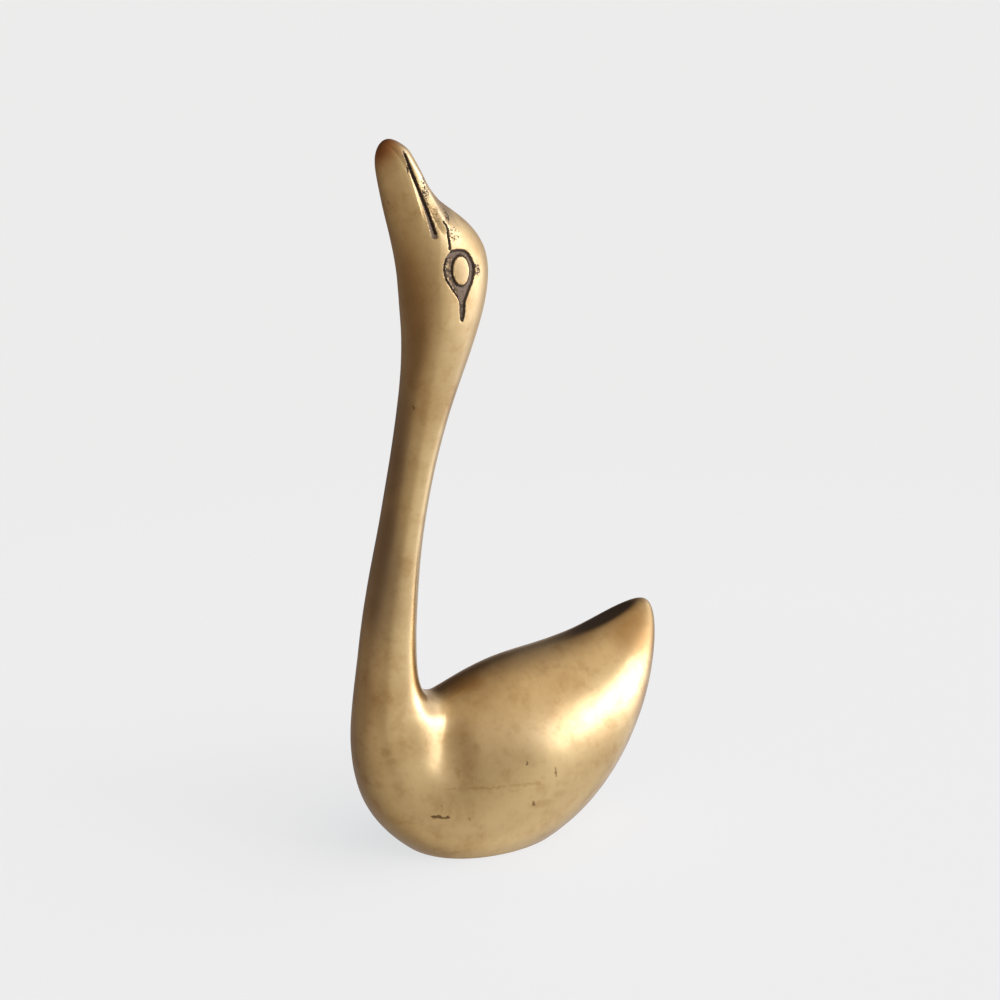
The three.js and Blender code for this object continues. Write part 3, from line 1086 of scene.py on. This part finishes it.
@dataclass
class Studio:
    """The pale floor, the soft light around the bird and the camera."""

    floor_radius: float = 0.5
    floor_solid: float = 0.22
    floor_sides: int = 96
    floor_middle: tuple[float, float] = (0.06, 0.06)
    floor_colour: Colour = (0.285, 0.28, 0.275)
    floor_glow: Colour = (0.655, 0.680, 0.703)
    backdrop: Colour = (0.847, 0.840, 0.840)
    room: Colour = (0.13, 0.085, 0.07)
    boxes: tuple[SoftBox, ...] = (
        SoftBox(150.0, 16.0, 46.0, 40.0, (0.97, 0.99, 1.0), 0.8),
        SoftBox(147.0, 8.0, 30.0, 8.0, (1.0, 1.0, 1.2), 5.8, roll=38.0),
        SoftBox(124.0, 26.0, 5.0, 10.0, (1.0, 1.0, 1.0), 3.0, roll=15.0),
        SoftBox(172.0, 16.0, 26.0, 22.0, (1.0, 1.0, 1.05), 0.88),
        SoftBox(195.0, 36.0, 25.0, 20.0, (1.0, 1.05, 1.4), 0.35),
        SoftBox(95.0, 78.0, 60.0, 40.0, (1.0, 0.76, 0.5), 0.28),
        SoftBox(110.0, 52.0, 48.0, 22.0, (1.0, 0.86, 0.66), 0.48),
        SoftBox(150.0, 68.0, 25.0, 12.0, (1.0, 0.9, 0.75), 0.16),
        SoftBox(100.0, 4.0, 42.0, 26.0, (1.0, 0.95, 0.75), 0.32),
        SoftBox(65.0, -21.0, 60.0, 11.0, (1.0, 0.97, 1.0), 0.11),
        SoftBox(320.0, -12.0, 40.0, 16.0, (1.0, 0.95, 0.85), 0.1),
        SoftBox(258.0, 32.0, 24.0, 22.0, (1.0, 0.65, 0.5), -0.1),
        SoftBox(230.0, -8.0, 15.0, 24.0, (1.0, 0.98, 0.95), 0.5),
        SoftBox(10.0, -14.0, 60.0, 14.0, (1.0, 0.72, 0.5), 0.15),
        SoftBox(0.0, -45.0, 60.0, 25.0, (1.0, 0.9, 0.7), 0.16),
        SoftBox(90.0, -60.0, 90.0, 50.0, (1.0, 0.93, 0.78), 0.62),
        SoftBox(170.0, -50.0, 60.0, 40.0, (1.0, 1.0, 1.05), 0.45),
    )
    camera_place: tuple[float, float, float] = (0.4094, -0.2202, 0.2172)
    camera_target: tuple[float, float, float] = (0.0, -0.0025, 0.093)
    lens: float = 64.8
    sensor: float = 36.0
    nearest_seen: float = 0.01

    def build(self) -> None:
        """Makes the floor, the light and the camera."""
        self.make_floor()
        self.make_light()
        self.make_camera()
        view = bpy.context.scene.view_settings
        view.view_transform = "Standard"
        view.look = "None"

    def make_floor(self) -> None:
        """Lays a round, softly glowing floor that fades into the backdrop at its rim."""
        sheet = bmesh.new()
        bmesh.ops.create_circle(
            sheet, cap_ends=True, segments=self.floor_sides, radius=self.floor_radius
        )
        bmesh.ops.translate(sheet, vec=(*self.floor_middle, 0.0), verts=sheet.verts)
        mesh = bpy.data.meshes.new("floor")
        sheet.to_mesh(mesh)
        floor = bpy.data.objects.new("floor", mesh)
        bpy.context.scene.collection.objects.link(floor)
        material = bpy.data.materials.new("pale_floor")
        material.use_nodes = True
        bench = Bench(material.node_tree)
        place = bench.out(bench.node("ShaderNodeTexCoord"), "Object")
        off = bench.vector("DISTANCE", place, (*self.floor_middle, 0.0), output=1)
        shader = bench.node("ShaderNodeBsdfPrincipled", None, {
            "Base Color": (*self.floor_colour, 1.0),
            "Roughness": 1.0,
            "Specular IOR Level": 0.0,
            "Emission Color": (*self.floor_glow, 1.0),
            "Emission Strength": 1.0,
            "Alpha": bench.step(off, self.floor_radius, self.floor_solid),
        })
        output = bench.node("ShaderNodeOutputMaterial")
        bench.tree.links.new(shader.outputs[0], output.inputs[0])
        mesh.materials.append(material)
        floor.visible_glossy = False

    def make_light(self) -> None:
        """Sets the soft boxes around the bird, with those below for what the table throws back."""
        world = bpy.data.worlds.new("studio")
        world.use_nodes = True
        bpy.context.scene.world = world
        bench = Bench(world.node_tree)
        direction = bench.out(bench.node("ShaderNodeTexCoord"), "Object")
        light = self.room
        for box in self.boxes:
            glow = box.glow(bench, direction)
            spread = bench.out(bench.node("ShaderNodeCombineXYZ", None, {0: glow, 1: glow, 2: glow}))
            light = bench.vector("ADD", light, bench.vector("MULTIPLY", spread, box.light))
        around = bench.node("ShaderNodeBackground", None, {"Color": light})
        plain = bench.node("ShaderNodeBackground", None, {"Color": (*self.backdrop, 1.0)})
        seen = bench.out(bench.node("ShaderNodeLightPath"), "Is Camera Ray")
        shown = bench.node("ShaderNodeMixShader", None, {
            0: seen, 1: bench.out(around), 2: bench.out(plain),
        })
        output = bench.node("ShaderNodeOutputWorld")
        bench.tree.links.new(shown.outputs[0], output.inputs[0])

    def make_camera(self) -> None:
        """Sets the camera where the photograph was taken from."""
        camera = bpy.data.objects.new("camera", bpy.data.cameras.new("camera"))
        camera.data.lens = self.lens
        camera.data.sensor_width = self.sensor
        camera.data.clip_start = self.nearest_seen
        camera.location = self.camera_place
        aim = Vector(self.camera_target) - Vector(self.camera_place)
        camera.rotation_euler = aim.to_track_quat("-Z", "Y").to_euler()
        bpy.context.scene.collection.objects.link(camera)
        bpy.context.scene.camera = camera


def report(piece: bpy.types.Object) -> None:
    """Says what a piece came out as."""
    low, high = (Vector(corner) for corner in (piece.bound_box[0], piece.bound_box[6]))
    size = ", ".join(f"{side / MM:.1f}" for side in high - low)
    triangles = sum(len(polygon.vertices) - 2 for polygon in piece.data.polygons)
    LOG.info("%s: %s mm, %d triangles", piece.name, size, triangles)


def main() -> None:
    """Builds the figurine, its finish and its studio."""
    logging.basicConfig(level=logging.INFO, format="%(message)s")
    casting = CastSwan().build()
    BrassFinish().dress(casting)
    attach(casting, BODY)
    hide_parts(NODE)
    Studio().build()
    bpy.context.view_layer.update()
    report(casting)


if __name__ == "__main__":
    main()
